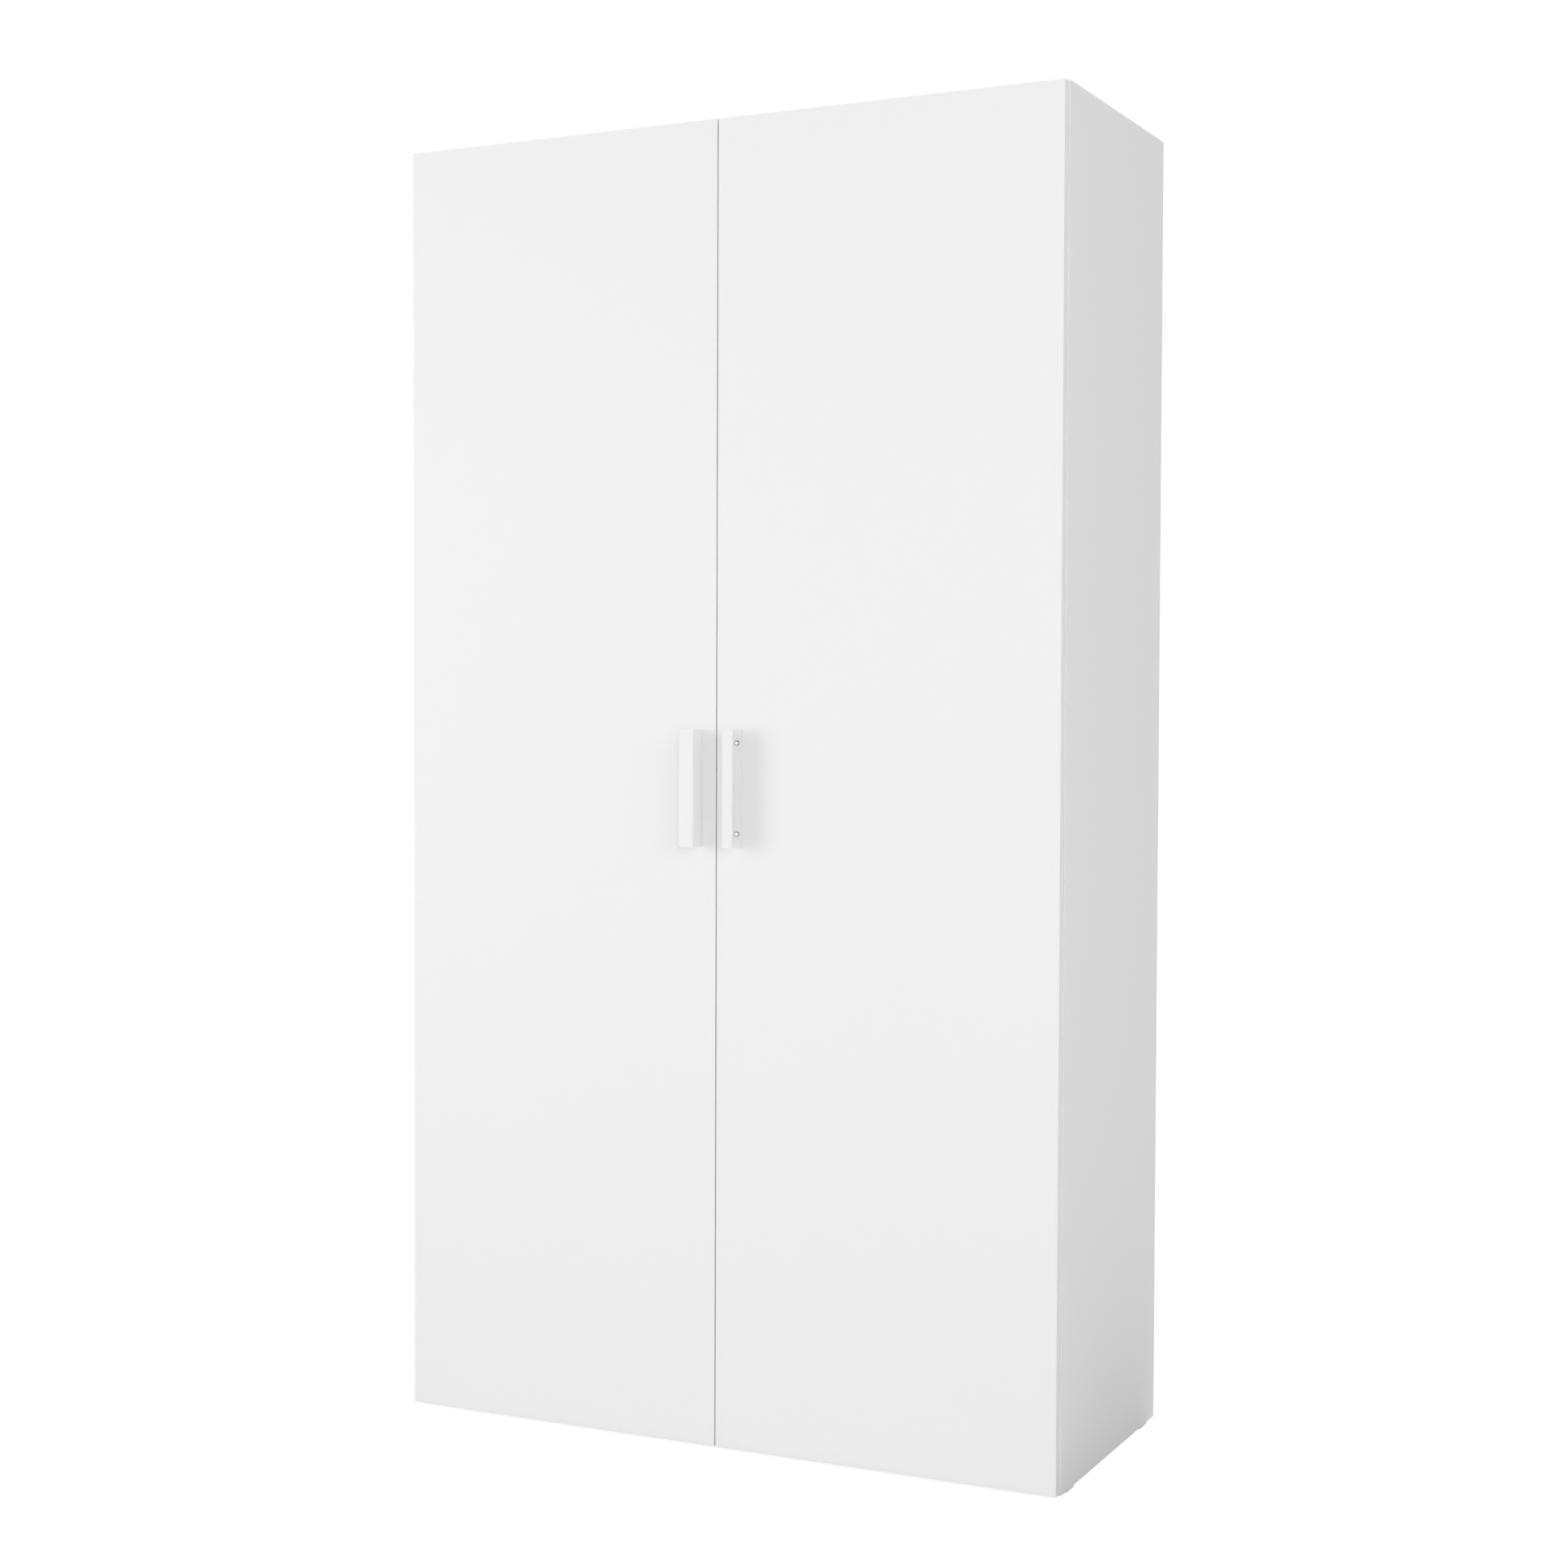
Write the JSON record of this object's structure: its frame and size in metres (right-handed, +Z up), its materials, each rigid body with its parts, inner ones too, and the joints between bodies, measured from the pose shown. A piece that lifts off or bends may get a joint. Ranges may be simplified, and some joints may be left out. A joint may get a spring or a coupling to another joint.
{
  "type": "wardrobe",
  "caption": "Tall white wardrobe with a pair of flat hinged doors, bent upright handles beside the middle gap, and a hat shelf and hanging rail inside",
  "frame": {"origin": "on the floor under the centre of the whole wardrobe, handles included", "axes": "+X to the right seen from the front, +Y towards the back, +Z up"},
  "size_m": [1, 0.5088, 1.885],
  "materials": {
    "white_foil": "particle board in smooth satin white foil, with white edge strips",
    "white_hardboard": "thin hardboard, painted satin white",
    "white_powder_coat": "fine satin white powder coat",
    "nickel_plated_steel": "pressed steel, bright nickel plated",
    "chromed_steel": "polished chrome plate",
    "white_plastic": "moulded white plastic",
    "clear_plastic": "soft milky clear plastic"
  },
  "bodies": {
    "carcass": {"left_side": "white_foil", "right_side": "white_foil", "top_panel": "white_foil", "bottom_panel": "white_foil", "hat_shelf": "white_foil", "back_left": "white_hardboard", "back_right": "white_hardboard", "back_joining_strip": "white_plastic", "hanging_rail": "chromed_steel", "rail_socket_left": "chromed_steel", "shelf_pin_front_left": "nickel_plated_steel", "shelf_pin_rear_left": "nickel_plated_steel", "left_hinge_arm_1": "nickel_plated_steel", "left_hinge_arm_2": "nickel_plated_steel", "left_hinge_arm_3": "nickel_plated_steel", "left_hinge_arm_4": "nickel_plated_steel", "rail_socket_right": "chromed_steel", "shelf_pin_front_right": "nickel_plated_steel", "shelf_pin_rear_right": "nickel_plated_steel", "right_hinge_arm_1": "nickel_plated_steel", "right_hinge_arm_2": "nickel_plated_steel", "right_hinge_arm_3": "nickel_plated_steel", "right_hinge_arm_4": "nickel_plated_steel", "glide_front_left": "white_plastic", "glide_front_middle": "white_plastic", "glide_front_right": "white_plastic", "glide_rear_left": "white_plastic", "glide_rear_middle": "white_plastic", "glide_rear_right": "white_plastic"},
    "left_door": {"left_door": "white_foil", "left_handle": "white_powder_coat", "left_handle_screw_lower": "nickel_plated_steel", "left_handle_screw_upper": "nickel_plated_steel", "left_door_bumper_bottom": "clear_plastic", "left_door_bumper_top": "clear_plastic", "left_hinge_cup_1": "nickel_plated_steel", "left_hinge_cup_2": "nickel_plated_steel", "left_hinge_cup_3": "nickel_plated_steel", "left_hinge_cup_4": "nickel_plated_steel"},
    "right_door": {"right_door": "white_foil", "right_handle": "white_powder_coat", "right_handle_screw_lower": "nickel_plated_steel", "right_handle_screw_upper": "nickel_plated_steel", "right_door_bumper_bottom": "clear_plastic", "right_door_bumper_top": "clear_plastic", "right_hinge_cup_1": "nickel_plated_steel", "right_hinge_cup_2": "nickel_plated_steel", "right_hinge_cup_3": "nickel_plated_steel", "right_hinge_cup_4": "nickel_plated_steel"},
    "left_hinge_links": {"left_hinge_link_1": "nickel_plated_steel", "left_hinge_link_2": "nickel_plated_steel", "left_hinge_link_3": "nickel_plated_steel", "left_hinge_link_4": "nickel_plated_steel"},
    "right_hinge_links": {"right_hinge_link_1": "nickel_plated_steel", "right_hinge_link_2": "nickel_plated_steel", "right_hinge_link_3": "nickel_plated_steel", "right_hinge_link_4": "nickel_plated_steel"}
  },
  "joints": [
    {"name": "left_door_swing", "type": "hinge", "parent": "carcass", "child": "left_door", "pos_m": [-0.4935, -0.2111, 0.9445], "axis": [0, 0, -1], "range_deg": [0, 110]},
    {"name": "right_door_swing", "type": "hinge", "parent": "carcass", "child": "right_door", "pos_m": [0.4935, -0.2111, 0.9445], "axis": [0, 0, 1], "range_deg": [0, 110]},
    {"name": "left_link_swing", "type": "hinge", "parent": "carcass", "child": "left_hinge_links", "pos_m": [-0.47182, -0.20922, 0.9445], "axis": [0, 0, 1], "range_deg": [0, 37.2]},
    {"name": "right_link_swing", "type": "hinge", "parent": "carcass", "child": "right_hinge_links", "pos_m": [0.47182, -0.20922, 0.9445], "axis": [0, 0, -1], "range_deg": [0, 37.2]}
  ],
  "couplings": [
    {"joint": "left_link_swing", "follows": "left_door_swing", "ratio": 0.33804},
    {"joint": "right_link_swing", "follows": "right_door_swing", "ratio": 0.33804}
  ]
}
